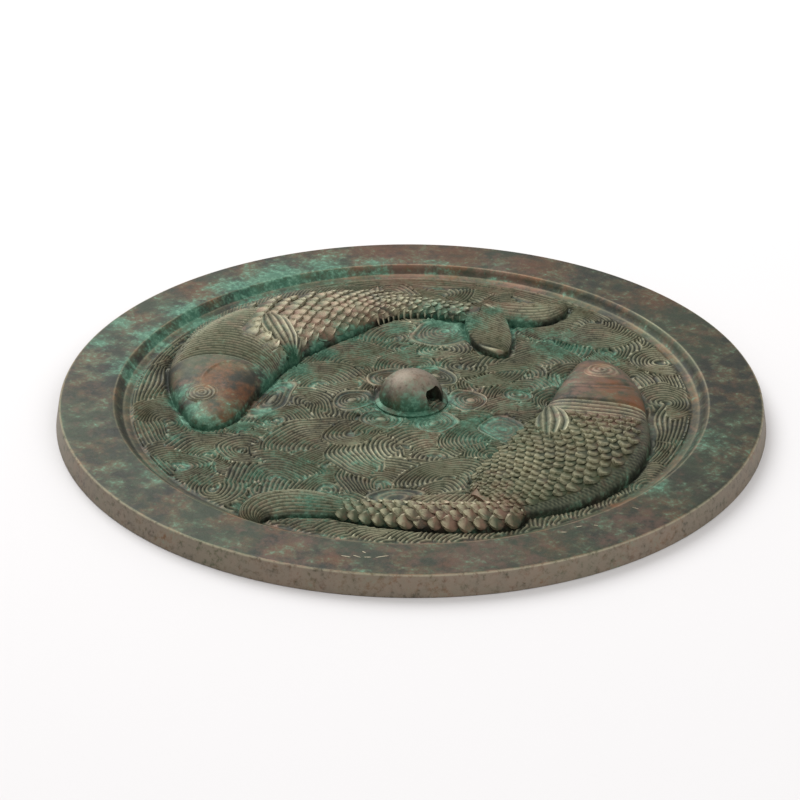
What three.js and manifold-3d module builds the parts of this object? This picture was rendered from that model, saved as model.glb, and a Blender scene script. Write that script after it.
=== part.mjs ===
import * as THREE from 'three';
import { mergeVertices } from 'three/addons/utils/BufferGeometryUtils.js';
import Module from 'manifold-3d';

// Cast bronze mirror lying on its polished face, carved back up.
// Millimetres, +Z up, origin at the centre of the flat underside.
// +X runs along the cord hole through the knob.

// The disc
const rimRadius = 100;
const rimHeight = 6.2;
const sideFlare = 1;
const rimWidth = 15.5;
const bevelWidth = 2.4;
const ledgeWidth = 2.1;
const ledgeRise = 0.5;
const groundHeight = 3.4;
const edgeRound = 0.5;
const discSides = 80;

// The knob and its cord hole
const knobRadius = 9.2;
const knobHeight = 8.8;
const knobFoot = 1.2;
const holeWidth = 6.4;
const holeHeight = 5.2;
const holeSill = 0.5;
const holeRound = 1.6;
const knobSides = 20;

// The flower of petals round the knob
const petalCount = 6;
const petalDistance = 15.6;
const petalLength = 11.2;
const petalWidth = 13.4;
const petalRim = 0.9;
const petalFloor = 0.45;
const petalSides = 12;

// The carving turns round from the cord hole by this angle, in degrees
const carvingTurn = 36;

// The fish: their height, and how far their scales, plates, ribs and rings stand proud
const figureSquareness = 2.5;
const scaleLength = 5.4;
const scaleRise = 0.75;
const collarRise = 0.4;
const facePlateRise = 0.9;
const gillBend = 0.16;
const stepRun = 0.004;
const eyeRadius = 3.3;
const eyeRingCount = 3;
const ringRise = 0.35;
const ribPitch = 2.6;
const ribRise = 0.55;
const tailThickness = 2.2;
const figureHeight = 5.8;

// The waves: ridges in bundles of arcs
const wavePitch = 4.6;
const waveWidth = 2;
const waveRise = 0.6;

// How far a raised form reaches down into what carries it
const root = 0.9;

const wasm = await Module();
wasm.setup();

const up = new THREE.Vector3(0, 0, 1);
const fieldRadius = rimRadius - rimWidth - bevelWidth - ledgeWidth;

// Figures are drawn in hundredths of the field's radius and of the fish's height,
// so they grow with them
const share = fieldRadius / 100;
const lift = figureHeight / 100;
const turn = new THREE.Matrix4().makeRotationZ(THREE.MathUtils.degToRad(carvingTurn));

// Geometry in, closed solid out
function solid(geometry, matrix) {
  const bare = geometry.index ? geometry.toNonIndexed() : geometry.clone();
  bare.deleteAttribute('normal');
  bare.deleteAttribute('uv');
  if (matrix) bare.applyMatrix4(matrix);
  const merged = mergeVertices(bare, 1e-4);
  const corners = Array.from(merged.index.array);
  const kept = [];
  for (let i = 0; i < corners.length; i += 3) {
    const [a, b, c] = corners.slice(i, i + 3);
    if (a !== b && b !== c && c !== a) kept.push(a, b, c);
  }
  return new wasm.Manifold(new wasm.Mesh({
    numProp: 3,
    vertProperties: new Float32Array(merged.attributes.position.array),
    triVerts: new Uint32Array(kept),
  }));
}

// Solid in, geometry out
function geometryOf(body) {
  const { vertProperties, triVerts, numProp } = body.getMesh();
  const points = [];
  for (let i = 0; i < vertProperties.length; i += numProp) {
    points.push(vertProperties[i], vertProperties[i + 1], vertProperties[i + 2]);
  }
  const geometry = new THREE.BufferGeometry();
  geometry.setAttribute('position', new THREE.Float32BufferAttribute(points, 3));
  geometry.setIndex(Array.from(triVerts));
  geometry.computeVertexNormals();
  return geometry;
}

function join(solids) {
  return solids.reduce((whole, next) => whole.add(next));
}

// A closed body through rings of equal length, with flat ends
function loft(rings) {
  const n = rings[0].length;
  const points = rings.flat();
  const index = [];
  for (let i = 0; i + 1 < rings.length; i++) {
    for (let j = 0; j < n; j++) {
      const a = i * n + j;
      const b = i * n + (j + 1) % n;
      index.push(a, b, a + n, b, b + n, a + n);
    }
  }
  const last = (rings.length - 1) * n;
  for (let j = 1; j + 1 < n; j++) {
    index.push(0, j + 1, j, last, last + j, last + j + 1);
  }
  const geometry = new THREE.BufferGeometry().setFromPoints(points);
  geometry.setIndex(index);
  return geometry;
}

// The disc: rim, bevel, ledge and ground turned about the axis
function discProfile() {
  const rimInner = rimRadius - rimWidth;
  const ledgeOuter = rimInner - bevelWidth;
  return [
    [0, 0],
    [rimRadius + sideFlare, 0],
    [rimRadius, rimHeight - edgeRound],
    [rimRadius - edgeRound, rimHeight],
    [rimInner, rimHeight],
    [ledgeOuter, groundHeight + ledgeRise],
    [fieldRadius, groundHeight],
    [0, groundHeight],
  ];
}

function turned(profile, sides) {
  const points = profile.map(([r, z]) => new THREE.Vector2(r, z));
  const geometry = new THREE.LatheGeometry(points, sides);
  return geometry.applyMatrix4(new THREE.Matrix4().makeRotationX(Math.PI / 2));
}

// The knob is a dome with a spreading foot, pierced along X for the cord
function knobBody() {
  const footRise = knobFoot * 0.6;
  const profile = [[0, groundHeight], [knobRadius + knobFoot, groundHeight]];
  profile.push([knobRadius + footRise, groundHeight + footRise / 2]);
  const rows = 5;
  for (let i = 0; i <= rows; i++) {
    const angle = Math.PI / 2 * i / rows;
    const rise = footRise + (knobHeight - footRise) * Math.sin(angle);
    profile.push([i === rows ? 0 : knobRadius * Math.cos(angle), groundHeight + rise]);
  }
  return solid(turned(profile, knobSides));
}

function cordHole() {
  const half = holeWidth / 2;
  const low = groundHeight + holeSill;
  const high = low + holeHeight;
  const outline = new THREE.Shape();
  outline.moveTo(-half, low);
  outline.lineTo(half, low);
  outline.lineTo(half, high - holeRound);
  outline.absarc(half - holeRound, high - holeRound, holeRound, 0, Math.PI / 2);
  outline.absarc(-half + holeRound, high - holeRound, holeRound, Math.PI / 2, Math.PI);
  const length = 2 * (knobRadius + knobFoot) + 2 * root;
  const bar = new THREE.ExtrudeGeometry(outline, {
    depth: length, bevelEnabled: false, curveSegments: 3,
  });
  bar.translate(0, 0, -length / 2);
  const alongX = new THREE.Matrix4().makeBasis(
    new THREE.Vector3(0, 1, 0), up, new THREE.Vector3(1, 0, 0));
  return solid(bar, alongX);
}

// Each petal is a shallow dish with a raised rim
function petals() {
  const low = groundHeight - root;
  const profile = [
    [0, low],
    [1, low],
    [1, groundHeight],
    [0.86, groundHeight + petalRim],
    [0.7, groundHeight + petalFloor],
    [0, groundHeight + petalFloor],
  ];
  const dish = turned(profile, petalSides).scale(petalLength / 2, petalWidth / 2, 1);
  const list = [];
  for (let i = 0; i < petalCount; i++) {
    const place = new THREE.Matrix4().makeRotationZ(2 * Math.PI * i / petalCount);
    place.multiply(new THREE.Matrix4().makeTranslation(petalDistance, 0, 0));
    list.push(solid(dish, turn.clone().multiply(place)));
  }
  return list;
}

// A figure is a domed body swept along a spine on the ground.
// Its stations are x, y and half width in shares of the field, and height in shares of the fish's.
class Figure {
  constructor(stations) {
    this.spine = new THREE.CatmullRomCurve3(
      stations.map(([x, y]) => new THREE.Vector3(x * share, y * share, 0)));
    this.section = new THREE.CatmullRomCurve3(
      stations.map(([, , width, height]) => new THREE.Vector3(width * share, height * lift, 0)));
    this.length = this.spine.getLength();
  }

  at(u) {
    const t = this.spine.getUtoTmapping(Math.min(Math.max(u, 0), 1));
    const { x: halfWidth, y: height } = this.section.getPoint(t);
    return { centre: this.spine.getPoint(t), along: this.spine.getTangent(t), halfWidth, height };
  }

  // The figure's skin: u runs along the spine from 0 to 1, v across it from -1 to 1
  skin(u, v, proud = 0) {
    const { centre, along, halfWidth, height } = this.at(u);
    const inside = Math.max(0, 1 - Math.abs(v) ** figureSquareness);
    const dome = inside ** (1 / figureSquareness);
    return new THREE.Vector3(
      centre.x - along.y * halfWidth * v,
      centre.y + along.x * halfWidth * v,
      groundHeight + (height + proud) * dome);
  }

  // A body through rows of points. A row is placed at u, bent back at its ends,
  // toothed at every other point, and lifted at its teeth and between them.
  body(rows, columns) {
    const rings = rows.map(({ u, bend = 0, tooth = 0, tip = 0, gap = tip, odd = 0 }) => {
      const ring = [];
      for (let j = 0; j <= columns; j++) {
        const v = -Math.cos(Math.PI * j / columns);
        const isTip = (j + odd) % 2 === 1;
        const place = u - bend * v * v + (isTip ? tooth : -tooth) * (1 - v * v);
        ring.push(this.skin(place, v, isTip ? tip : gap));
      }
      const foot = (point) => new THREE.Vector3(point.x, point.y, groundHeight - root);
      return [foot(ring[0]), ...ring, foot(ring[columns])].reverse();
    });
    return solid(loft(rings), turn);
  }

  // Rows of a head: a face plate that ends in a step, then a collar that ends in a step
  headRows(faceEnd, collarEnd) {
    const rows = [0, 0.02, 0.06, 0.12, 0.18].map((u) => ({ u, tip: facePlateRise, bend: u * gillBend }));
    rows.push({ u: faceEnd, tip: facePlateRise, bend: faceEnd * gillBend });
    rows.push({ u: faceEnd + stepRun, tip: collarRise * 0.3, bend: faceEnd * gillBend });
    rows.push({ u: collarEnd - stepRun, tip: collarRise, bend: collarEnd * gillBend });
    rows.push({ u: collarEnd, tip: -collarRise * 0.3, bend: collarEnd * gillBend });
    return rows;
  }

  // Rows of scales that overlap like shingles, staggered, shrinking with the body,
  // then a plain row, so that the end is upright
  scaleRows(from, to) {
    const rows = [];
    const widest = Math.max(...[0.2, 0.3, 0.4, 0.5, 0.6].map((u) => this.at(u).halfWidth));
    let u = from;
    for (let i = 0; u < to; i++) {
      const size = Math.max(0.5, this.at(u).halfWidth / widest);
      const pitch = scaleLength * size / this.length;
      u += pitch;
      const fade = 1 - (u - from) / (to - from);
      const row = { bend: gillBend * from * Math.max(0, fade), tooth: pitch * 0.3, odd: i % 2 };
      rows.push({ ...row, u, tip: scaleRise, gap: scaleRise * 0.3 });
      rows.push({ ...row, u: u + stepRun, tip: 0, gap: 0 });
    }
    rows.push({ u: u + scaleLength / (3 * this.length), tip: 0 });
    return rows;
  }

  // Rows of ribs across the figure
  ribRows(from, to, pitch = ribPitch) {
    const count = Math.round((to - from) * this.length / pitch);
    const rows = [];
    for (let i = 0; i <= 2 * count; i++) {
      rows.push({ u: from + (to - from) * i / (2 * count), tip: i % 2 ? ribRise : 0 });
    }
    return rows;
  }

  // Ribs along the figure: every other point of a row is lifted
  streaked(count, ribs) {
    const rows = [];
    for (let i = 0; i <= count; i++) rows.push({ u: i / count, tip: ribRise, gap: 0 });
    return this.body(rows, 2 * ribs);
  }

  // The place on the skin with its directions: towards the tail, across and out
  frame(u, v, proud) {
    const step = 0.01;
    const along = this.skin(u + step, v).sub(this.skin(u - step, v)).normalize();
    const across = this.skin(u, v + step).sub(this.skin(u, v - step)).normalize();
    const out = along.clone().cross(across).normalize();
    across.crossVectors(out, along);
    return new THREE.Matrix4().makeBasis(along, across, out).setPosition(this.skin(u, v, proud));
  }

  // The eye: one button of raised rings
  eye(u, v) {
    const profile = [[0, -root], [eyeRadius, -root], [eyeRadius, 0]];
    for (let i = eyeRingCount; i > 0; i--) {
      const radius = eyeRadius * i / (eyeRingCount + 0.5);
      profile.push([radius, ringRise], [radius - eyeRadius * 0.5 / (eyeRingCount + 0.5), 0]);
    }
    profile.push([0, ringRise]);
    return solid(turned(profile, 12), turn.clone().multiply(this.frame(u, v, facePlateRise)));
  }
}

// A pointed ridge along points that lie on a surface
function ridge(points, width, rise) {
  const rings = points.map((point, i) => {
    const before = points[Math.max(i - 1, 0)];
    const after = points[Math.min(i + 1, points.length - 1)];
    const aside = after.clone().sub(before).cross(up).normalize().multiplyScalar(width / 2);
    const foot = point.clone().addScaledVector(up, -root);
    const crest = point.clone().addScaledVector(up, rise);
    return [foot.clone().sub(aside), crest, foot.clone().add(aside)];
  });
  return solid(loft(rings), turn);
}

function smooth(points, pieces) {
  return new THREE.CatmullRomCurve3(
    points.map(([x, y]) => new THREE.Vector3(x * share, y * share, groundHeight))).getPoints(pieces);
}

// A flat fin or tail lobe, ribbed at an angle, with its outline in shares of the field
function fin(outline, thickness, angle) {
  const shape = new THREE.Shape();
  const points = outline.map(([x, y]) => new THREE.Vector2(x * share, y * share));
  shape.moveTo(points[0].x, points[0].y);
  shape.splineThru(points.slice(1));
  shape.closePath();
  const slab = (high) => {
    const geometry = new THREE.ExtrudeGeometry(shape, {
      depth: high + root, bevelEnabled: false, curveSegments: 2,
    });
    return solid(geometry.translate(0, 0, groundHeight - root), turn);
  };
  const box = new THREE.Box2().setFromPoints(points);
  const centre = box.getCenter(new THREE.Vector2());
  const reach = box.getSize(new THREE.Vector2()).length() / 2;
  const heading = new THREE.Vector2(1, 0).rotateAround(new THREE.Vector2(), angle * Math.PI / 180);
  const aside = new THREE.Vector2(-heading.y, heading.x).multiplyScalar(ribPitch);
  const count = Math.floor(reach / ribPitch);
  const ribs = [];
  for (let i = -count; i <= count; i++) {
    const line = [-reach, reach].map((s) => {
      const end = centre.clone().addScaledVector(aside, i).addScaledVector(heading, s);
      return new THREE.Vector3(end.x, end.y, groundHeight + thickness);
    });
    ribs.push(ridge(line, ribPitch * 0.8, ribRise));
  }
  return slab(thickness).add(join(ribs).intersect(slab(thickness + 2 * ribRise)));
}

// The left fish swims down beside the rim and bends round above the knob
function leftFish() {
  const fish = new Figure([
    [-72, -23.4, 1.5, 14], [-71.6, -20.6, 6, 34], [-70.6, -12.5, 10.6, 59], [-70.6, 0, 15, 79],
    [-69.4, 13.8, 18.8, 93], [-66, 27.5, 20.6, 100], [-60, 40, 21.2, 100], [-51.8, 49.5, 20.8, 97],
    [-41.8, 57.5, 19.6, 91], [-30, 64.8, 17.2, 86], [-18.5, 69.8, 13, 78], [-6.3, 72.3, 8.6, 69],
    [6.3, 71, 5.4, 57], [20, 67.8, 4.8, 50], [26, 66.4, 4.6, 45],
  ]);
  const dorsal = new Figure([
    [-82, 34, 3, 21], [-74, 52, 7, 34], [-59, 67, 9, 38], [-43, 77, 9, 38],
    [-27, 84, 7, 34], [-12, 88, 3, 21],
  ]);
  const pectoral = new Figure([
    [-53, 52, 4, 114], [-50, 44, 8.4, 124], [-46.5, 34.5, 7.6, 110], [-43, 25, 1.8, 72],
  ]);
  const lowerLobe = [[21, 70], [21, 58], [21.6, 47], [24.5, 39.5], [29, 35], [35.6, 32.5],
    [36.6, 41], [36.3, 50], [36.6, 57.5]];
  const upperLobe = [[20.4, 69], [31, 74.5], [43, 73.8], [53.6, 72], [58, 68], [56.2, 63.2],
    [50.5, 60], [43, 58.5], [36, 56.6]];
  return [
    fish.body([...fish.headRows(0.26, 0.33), ...fish.scaleRows(0.34, 0.96)], 12),
    fish.eye(0.095, 0.33),
    dorsal.body(dorsal.ribRows(0, 1, 2 * ribPitch), 4),
    pectoral.streaked(5, 4),
    fin(lowerLobe, tailThickness, -35),
    fin(upperLobe, tailThickness, 12),
  ];
}

// The right fish swims up beside the rim, its body bending round below the knob
function rightFish() {
  const fish = new Figure([
    [66, 26.4, 1.5, 17], [66.2, 22, 6.8, 48], [67.2, 13, 11.6, 72], [67.2, 3, 14.8, 84],
    [66.2, -7.5, 16.9, 90], [64.2, -18, 19.2, 95], [61.2, -31, 22, 97], [55, -45, 23.2, 93],
    [46, -56.6, 22.2, 86], [35.6, -66.6, 18.4, 79], [28, -73.4, 13, 72], [22.5, -77.5, 6, 62],
  ]);
  const pectoral = new Figure([
    [48.5, -20, 4, 107], [49.4, -25.2, 7.6, 117], [49.8, -31.5, 8.6, 117], [48.6, -38, 6.4, 103],
    [47.6, -42, 2, 79],
  ]);
  const stem = new Figure([
    [32, -84.5, 6.2, 59], [15, -86, 6.5, 59], [0, -85, 6.2, 55], [-12.5, -82.9, 5.5, 52],
    [-24, -80, 4.5, 45],
  ]);
  const tail = new Figure([
    [-22, -80, 4, 45], [-32.5, -77.5, 5.3, 41], [-40, -76.6, 5.8, 41], [-47.5, -78.1, 6, 41],
    [-51.9, -81.9, 4.8, 38], [-51.6, -86.3, 3, 33], [-49, -90.6, 1, 21],
  ]);
  const analFin = [[-1.3, -72.5], [12, -70], [24, -70], [26, -80], [15, -82], [5, -78]];
  return [
    fish.body([...fish.headRows(0.23, 0.31), ...fish.scaleRows(0.32, 0.95)], 12),
    fish.eye(0.1, 0.08),
    pectoral.streaked(5, 4),
    stem.body([{ u: 0 }, ...stem.scaleRows(0.06, 0.94)], 6),
    tail.streaked(9, 4),
    fin(analFin, tailThickness, -62),
  ];
}

// Bundles of waves on the ground: centre, inner and outer radius in shares of the field,
// then the angle where the arcs start and how far they sweep, in degrees
const waveBundles = [
  [0, 0, 88, 98, 165, 60], [0, 0, 88, 98, 228, 28], [0, 0, 90, 98, 262, 40], [0, 0, 90, 98, 306, 30],
  [0, 0, 88, 98, -20, 36], [0, 0, 90, 98, 22, 44], [0, 0, 92, 98, 75, 30],
  [-71, -42, 4, 17, -70, 200], [-66, -66, 3, 9, 150, 240], [-46, -58, 4, 17, 20, 150],
  [-48, -19, 3, 12, -60, 200], [-30, -36, 6, 20, 60, 110], [-5, -37, 6, 23, 130, 110],
  [6, -42, 5, 21, 20, 110], [30, -34, 6, 20, 60, 120], [-32, 8, 5, 17, 60, 150],
  [-6, 48, 3, 13, -30, 190], [12, 37, 2, 8, 160, 220], [34, 12, 4, 15, 30, 150],
  [90, -3, 3, 12, -60, 250], [92, 28, 3, 10, 60, 250], [52, 44, 4, 16, -30, 150],
  [68, 62, 6, 22, -120, 100], [30, 22, 3, 12, 180, 150],
];

function waves() {
  const list = [];
  for (const [x, y, inner, outer, start, sweep] of waveBundles) {
    const rings = Math.max(1, Math.round((outer - inner) * share / wavePitch));
    for (let i = 0; i < rings; i++) {
      const radius = (inner + (outer - inner) * (i + 1) / rings) * share;
      const arcLength = radius * sweep * Math.PI / 180;
      const steps = Math.round(Math.max(sweep / 24, arcLength / (4 * waveWidth)));
      const points = [];
      for (let j = 0; j <= steps; j++) {
        const angle = (start + sweep * j / steps) * Math.PI / 180;
        points.push(new THREE.Vector3(
          x * share + radius * Math.cos(angle), y * share + radius * Math.sin(angle), groundHeight));
      }
      list.push(ridge(points, waveWidth, waveRise));
    }
  }
  return list;
}

// The smooth water under the left fish's tail has a raised edge
function waterEdge() {
  const points = smooth([[-3, 61.5], [6, 64], [14, 63], [18.6, 57], [19.6, 47]], 10);
  return ridge(points, waveWidth, waveRise);
}

const disc = solid(turned(discProfile(), discSides));
const ground = join([...petals(), ...waves(), waterEdge()]);
const carved = join([disc, ground, ...leftFish(), ...rightFish()]);

// Where faces nearly meet, joining can leave a crumb thinner than a hair: the casting is the rest
const [casting] = carved.subtract(knobBody()).decompose().sort((a, b) => b.volume() - a.volume());

// The casting is parted at the knob's foot, so that the cord hole stays open in a physics model
const pieces = { mirror: casting, knob: knobBody().subtract(cordHole()) };

const part = new THREE.Group();
for (const [name, body] of Object.entries(pieces)) {
  const bronze = new THREE.MeshStandardMaterial({ color: 0x5a5a4a, roughness: 0.6, metalness: 0.7 });
  const mesh = new THREE.Mesh(geometryOf(body), bronze);
  mesh.name = name;
  part.add(mesh);
}

export default part;
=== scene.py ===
# %% [markdown]
# # A cast bronze mirror, lying back up
#
# The real thing is a disc of high-tin bronze, cast in one pour. Its polished face is underneath, and
# its back shows: a wide plain rim, then a sunken field where carp swim through lines of water round a
# pierced knob. Everything here is mesh, because a casting's ornament is real height that catches light
# from every side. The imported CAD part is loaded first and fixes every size.

import math

import bpy
import numpy as np
from mathutils import Matrix, Vector, kdtree
from mathutils.geometry import delaunay_2d_cdt


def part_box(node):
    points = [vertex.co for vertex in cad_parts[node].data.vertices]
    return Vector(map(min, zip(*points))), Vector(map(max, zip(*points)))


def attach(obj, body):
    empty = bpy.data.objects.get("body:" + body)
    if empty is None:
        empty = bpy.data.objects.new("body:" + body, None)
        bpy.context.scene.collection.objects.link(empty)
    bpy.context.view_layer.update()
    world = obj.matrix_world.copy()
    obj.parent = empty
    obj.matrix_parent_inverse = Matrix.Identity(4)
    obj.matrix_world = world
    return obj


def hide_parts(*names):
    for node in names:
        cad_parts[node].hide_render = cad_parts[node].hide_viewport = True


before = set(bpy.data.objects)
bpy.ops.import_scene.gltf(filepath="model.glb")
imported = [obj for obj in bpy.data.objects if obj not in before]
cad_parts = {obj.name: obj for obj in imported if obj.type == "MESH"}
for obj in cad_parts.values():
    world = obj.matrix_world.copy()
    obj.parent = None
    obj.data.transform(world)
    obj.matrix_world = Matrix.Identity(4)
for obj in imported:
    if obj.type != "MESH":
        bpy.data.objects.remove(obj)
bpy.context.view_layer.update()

# %% [markdown]
# ## The sizes
#
# A learner's first job is to agree with the CAD. The overall radius and height are read from the frame,
# and the steps of the rim repeat the CAD's own values. The ornament is thought of in millimetres and
# made metres only when a mesh is built, so the numbers stay easy to read.

# %% Sizes in millimetres
MM = 0.001
SIDE_FLARE = 1.0
RIM_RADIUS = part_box("mirror")[1].x / MM - SIDE_FLARE
RIM_HEIGHT = 6.2
RIM_WIDTH = 15.5
BEVEL_WIDTH = 2.4
LEDGE_WIDTH = 2.1
LEDGE_RISE = 0.5
GROUND = 3.4
EDGE_ROUND = 0.5
FIELD = RIM_RADIUS - RIM_WIDTH - BEVEL_WIDTH - LEDGE_WIDTH
KNOB_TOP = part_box("knob")[1].z / MM
KNOB_RADIUS = 9.2
KNOB_FOOT = 1.2
CARVING_TURN = math.radians(36)
ROOT = 0.9

# The fish are drawn in hundredths of the field's radius and of their own height
SHARE = FIELD / 100
FISH_HEIGHT = 5.8
LIFT = FISH_HEIGHT / 100

# The lines of water: their spacing, their depth, and the spacing of mesh points along them.
# The real ones stand about 0.9 mm apart, which takes more mesh than a piece may have, so these are wider.
LINE_PITCH = 1.12
LINE_DEPTH = 0.55
POINT_STEP = 0.46

print("rim radius", round(RIM_RADIUS, 2), "field radius", round(FIELD, 2), "knob top", round(KNOB_TOP, 2))

# %% [markdown]
# ## Gathering meshes
#
# Each piece of the mirror is gathered from parts: a skin, an eye, a fin. A part is a list of points, a
# list of faces, and three numbers for each point. **crest** is 1 on the crests, which the finish paints
# pale, partly as metal rubbed by fingers and partly as painted highlight. **hollow** is 1 in a crevice,
# where green salts gather and the finish paints shade dark; smaller values darken the rim top, as
# painted shade, and the face plates. **bare** is 1 where the brown skin has worn off altogether, and on
# the side, where the pale metal is also painted light. The finish reads them later, so the colour always
# follows the shape.


# %% A piece gathers parts and turns into an object
class Piece:
    def __init__(self):
        self.points, self.faces, self.crest, self.hollow, self.bare_and_light = [], [], [], [], []
        self.count = 0

    def add(self, points, faces, crest=0.0, hollow=0.0, bare_and_light=0.0):
        points = np.asarray(points, float).reshape(-1, 3)
        self.faces.extend([tuple(i + self.count for i in face) for face in faces])
        self.points.append(points)
        self.crest.append(np.broadcast_to(crest, len(points)).astype(float))
        self.hollow.append(np.broadcast_to(hollow, len(points)).astype(float))
        self.bare_and_light.append(np.broadcast_to(bare_and_light, len(points)).astype(float))
        self.count += len(points)


def plain_object(name, points, faces):
    mesh = bpy.data.meshes.new(name)
    mesh.from_pydata([tuple(p) for p in points], [], faces)
    mesh.update()
    made = bpy.data.objects.new(name, mesh)
    bpy.context.scene.collection.objects.link(made)
    return made


def set_values(mesh, name, values):
    layer = mesh.attributes.new(name, "FLOAT", "POINT")
    layer.data.foreach_set("value", np.asarray(values, np.float32))


# %% Closed shells through rings of points
def ring_faces(rows, columns, closed_ends=True):
    faces = []
    for i in range(rows - 1):
        for j in range(columns):
            k = (j + 1) % columns
            faces.append((i * columns + j, i * columns + k, (i + 1) * columns + k, (i + 1) * columns + j))
    if closed_ends:
        faces.append(tuple(range(columns))[::-1])
        faces.append(tuple(range((rows - 1) * columns, rows * columns)))
    return faces


def outward(points, faces):
    """The faces turned so that the shell's volume is positive."""
    points = np.asarray(points).reshape(-1, 3)
    volume = 0.0
    for face in faces:
        a = points[face[0]]
        for b, c in zip(face[1:-1], face[2:]):
            volume += np.dot(a, np.cross(points[b], points[c]))
    return faces if volume > 0 else [face[::-1] for face in faces]


# %% [markdown]
# ## A figure that follows a spine
#
# A fish, a fin or a tail in low relief is a domed body swept along a bent line. A few stations say where
# the line runs, how wide the body is and how high. A smooth curve through the stations gives the rest,
# and any point of the skin is then found from two numbers: how far along, and how far across.


# %% A smooth curve through stations, and the figure made with it
def through(stations, t):
    """Centripetal curve through the stations, at shares t of its steps."""
    p = np.asarray(stations, float)
    p = np.vstack([2 * p[0] - p[1], p, 2 * p[-1] - p[-2]])
    steps = len(p) - 3
    s = np.clip(np.asarray(t, float) * steps, 0, steps - 1e-9)
    i = s.astype(int)
    w = (s - i)[:, None]
    p0, p1, p2, p3 = p[i], p[i + 1], p[i + 2], p[i + 3]

    def gap(a, b):
        return np.sqrt(np.maximum(np.linalg.norm(b - a, axis=1), 1e-6))[:, None]

    d0, d1, d2 = gap(p0, p1), gap(p1, p2), gap(p2, p3)
    m1 = ((p1 - p0) / d0 - (p2 - p0) / (d0 + d1) + (p2 - p1) / d1) * d1
    m2 = ((p2 - p1) / d1 - (p3 - p1) / (d1 + d2) + (p3 - p2) / d2) * d1
    return (
        p1 + m1 * w + (3 * (p2 - p1) - 2 * m1 - m2) * w**2 + (2 * (p1 - p2) + m1 + m2) * w**3
    )


class Figure:
    def __init__(self, stations, squareness=2.5, gill_bend=0.16):
        self.squareness, self.gill_bend = squareness, gill_bend
        s = np.asarray(stations, float)
        t = np.linspace(0, 1, 3001)
        self.spine = through(s[:, :2] * SHARE, t)
        self.section = through(np.column_stack([s[:, 2] * SHARE, s[:, 3] * LIFT]), t)
        steps = np.linalg.norm(np.diff(self.spine, axis=0), axis=1)
        run = np.concatenate([[0], np.cumsum(steps)])
        self.length = run[-1]
        self.run = run / run[-1]
        self.heading = np.gradient(self.spine, axis=0)
        self.heading /= np.linalg.norm(self.heading, axis=1)[:, None]

    def at(self, u, column):
        return np.interp(u, self.run, column)

    def width(self, u):
        return self.at(u, self.section[:, 0])

    def dome(self, v):
        return np.maximum(0, 1 - np.abs(v) ** self.squareness) ** (1 / self.squareness)

    def skin(self, u, v, proud=0.0):
        u, v, proud = np.broadcast_arrays(np.clip(u, 0, 1), v, proud)
        wide = self.width(u) * v
        x = self.at(u, self.spine[:, 0]) - self.at(u, self.heading[:, 1]) * wide
        y = self.at(u, self.spine[:, 1]) + self.at(u, self.heading[:, 0]) * wide
        z = GROUND + (self.at(u, self.section[:, 1]) + proud) * self.dome(v)
        return np.stack([x, y, z], -1)

    def outline(self, step=0.4):
        n = int(self.length / step)
        u = np.linspace(0, 1, n)
        sides = [self.skin(u, 1.0)[:, :2], self.skin(u, -1.0)[:, :2]]
        ends = [self.skin(e, np.linspace(-1, 1, 12))[:, :2] for e in (0.0, 1.0)]
        return np.vstack(sides + ends)

    def shell(self, u, v, proud):
        """A closed shell from a grid of places on the skin, with a foot sunk in the ground."""
        grid = self.skin(u, v, proud)
        foot = grid[:, [0, -1]].copy()
        foot[..., 2] = GROUND - ROOT
        rings = np.concatenate([foot[:, :1], grid, foot[:, 1:]], axis=1)
        faces = ring_faces(rings.shape[0], rings.shape[1])
        return rings.reshape(-1, 3), outward(rings, faces)


def grid(along, across):
    """Every pair of a place along a skin and a place across it, row by row."""
    return np.meshgrid(along, across, indexing="ij")


def round_columns(columns):
    """Places from -1 to 1 across a skin, closer together near its edges, where it is steep."""
    return -np.cos(math.pi * np.arange(columns + 1) / columns)


def padded(values):
    """Values of a grid of skin points, with the two foot columns added."""
    return np.pad(values, ((0, 0), (1, 1)), mode="edge").reshape(-1)


def smooth_step(x, start, end):
    s = np.clip((x - start) / (end - start), 0, 1)
    return s * s * (3 - 2 * s)


# %% Where the fish and their fins lie: x, y, half width, height
LEFT_BODY = [
    (-72, -23.4, 1.5, 14), (-71.6, -20.6, 6, 34), (-70.6, -12.5, 10.6, 59), (-70.6, 0, 15, 79),
    (-69.4, 13.8, 18.8, 93), (-66, 27.5, 20.6, 100), (-60, 40, 21.2, 100), (-51.8, 49.5, 20.8, 97),
    (-41.8, 57.5, 19.6, 91), (-30, 64.8, 17.2, 86), (-18.5, 69.8, 13, 78), (-6.3, 72.3, 8.6, 69),
    (6.3, 71, 5.4, 57), (20, 67.8, 4.8, 50), (26, 66.4, 4.6, 45),
]
LEFT_DORSAL = [(-82, 34, 3, 21), (-74, 52, 7, 34), (-59, 67, 9, 38), (-43, 77, 9, 38), (-27, 84, 7, 34),
               (-12, 88, 3, 21)]
LEFT_PECTORAL = [(-53, 52, 4, 114), (-50, 44, 8.4, 124), (-46.5, 34.5, 7.6, 110), (-43, 25, 1.8, 72)]
LOWER_LOBE = [(27, 73, 5, 28), (28, 64, 7.6, 31), (28.6, 55, 8.2, 32), (30, 46, 7.8, 30), (32, 38, 5.4, 27),
              (34, 33, 2, 20)]
UPPER_LOBE = [(27, 74, 3, 28), (33, 68.5, 6, 31), (41, 66, 8, 32), (49, 66.5, 7.4, 31), (55, 69.5, 4.6, 26),
              (59, 73, 1.4, 18)]
RIGHT_BODY = [
    (66, 26.4, 1.5, 17), (66.2, 22, 6.8, 48), (67.2, 13, 11.6, 72), (67.2, 3, 14.8, 84),
    (66.2, -7.5, 16.9, 90), (64.2, -18, 19.2, 95), (61.2, -31, 22, 97), (55, -45, 23.2, 93),
    (46, -56.6, 22.2, 86), (35.6, -66.6, 18.4, 79), (28, -73.4, 13, 72), (22.5, -77.5, 6, 62),
]
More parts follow.
